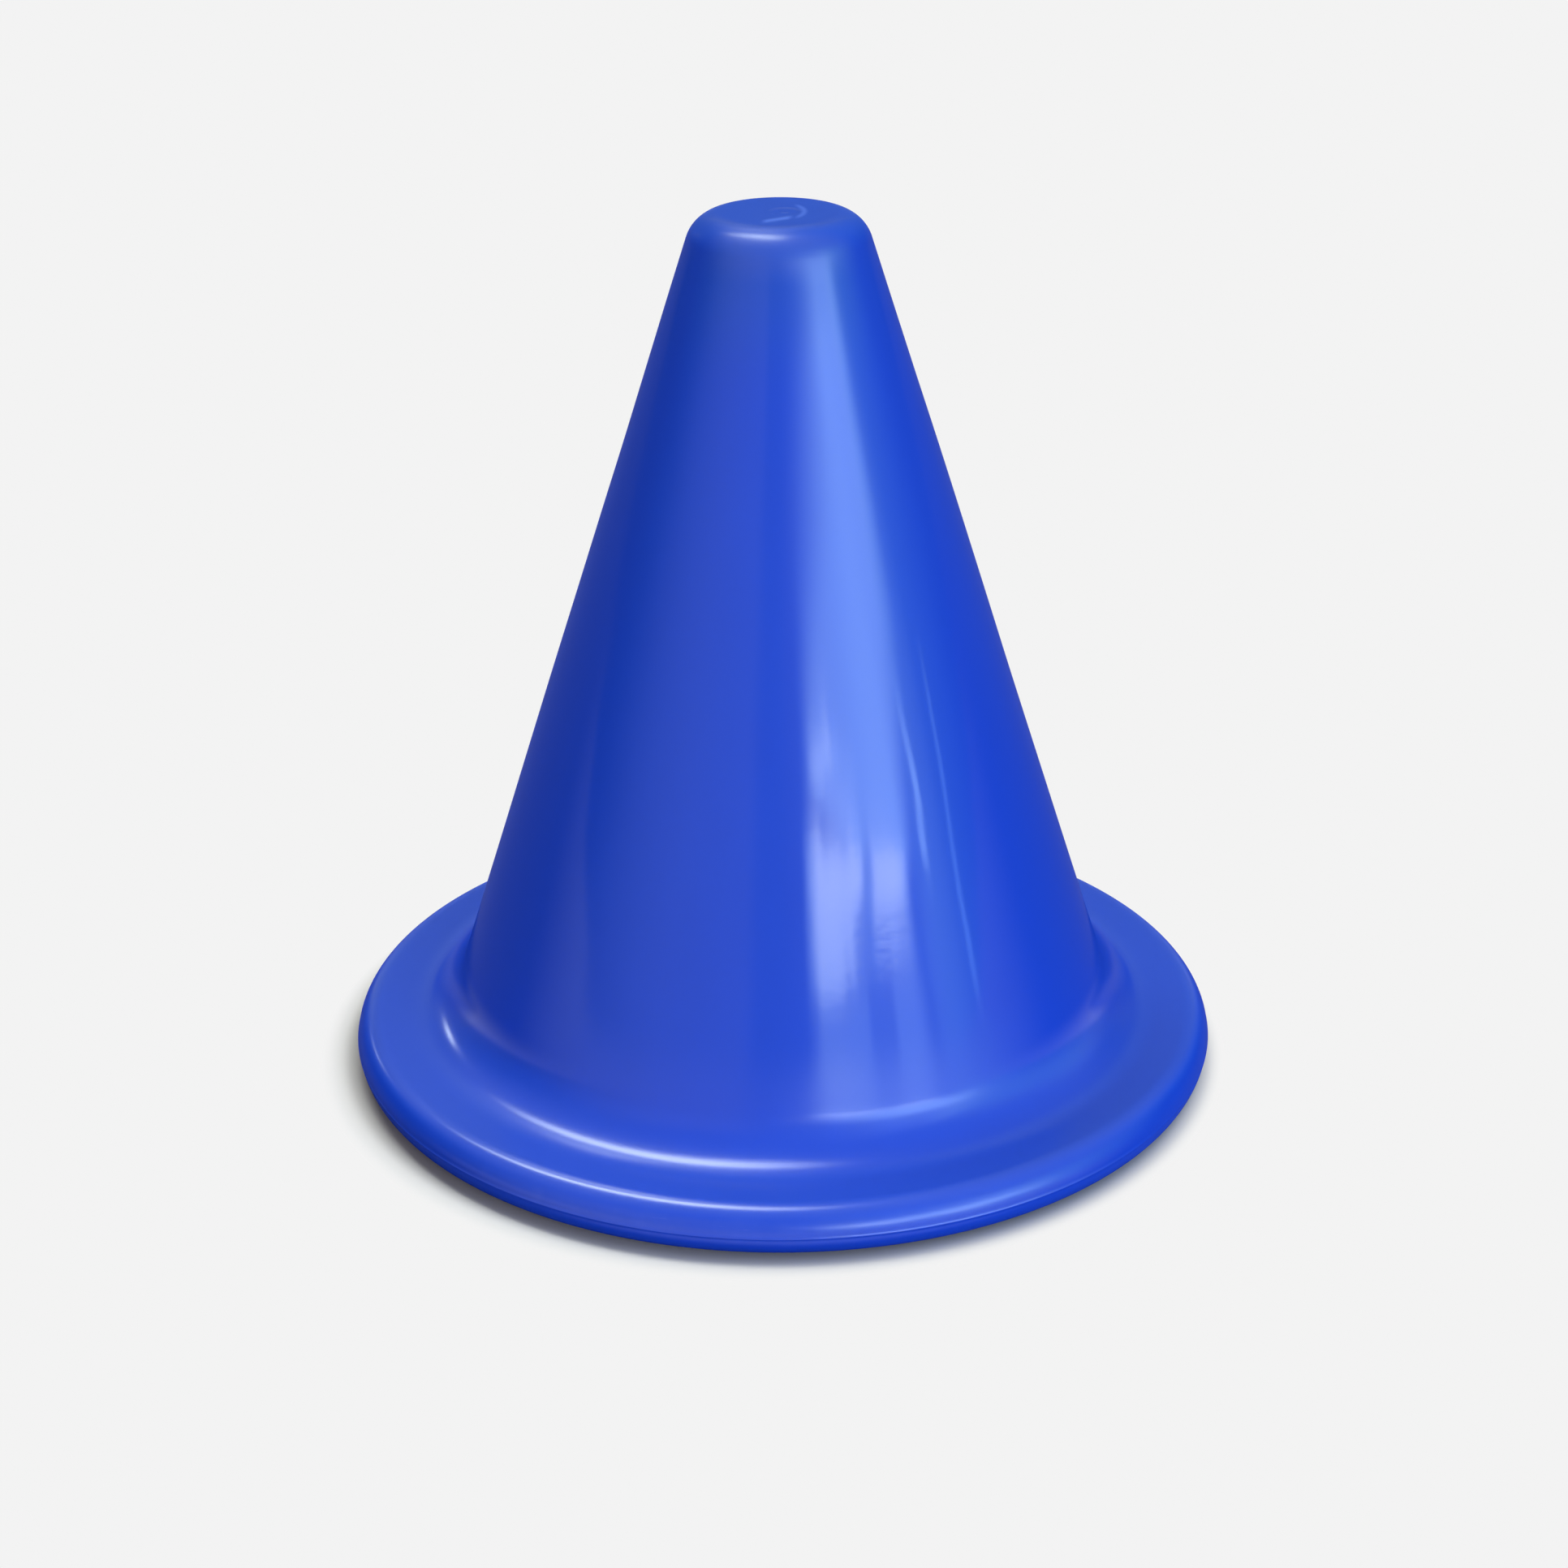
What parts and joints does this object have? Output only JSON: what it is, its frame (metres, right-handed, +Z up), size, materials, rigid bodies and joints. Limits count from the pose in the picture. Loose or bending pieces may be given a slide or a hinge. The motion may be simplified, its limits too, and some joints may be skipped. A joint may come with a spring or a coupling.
{
  "type": "marker cone",
  "caption": "Glossy moulded sports marker cone with a round hollow flange and a ballast ring, open underneath so that cones stack.",
  "frame": {"origin": "centre of the resting plane, on the axis of the cone", "axes": "+Z up along the axis of the cone, +X to the right and -Y towards the viewer in the picture"},
  "size_m": [0.233, 0.233, 0.23],
  "materials": {
    "shell_plastic": "gloss, dyed through, as moulded",
    "ring_rubber": "matt, as moulded"
  },
  "bodies": {
    "root": {"cone_shell": "shell_plastic", "ballast_ring": "ring_rubber"}
  },
  "joints": []
}
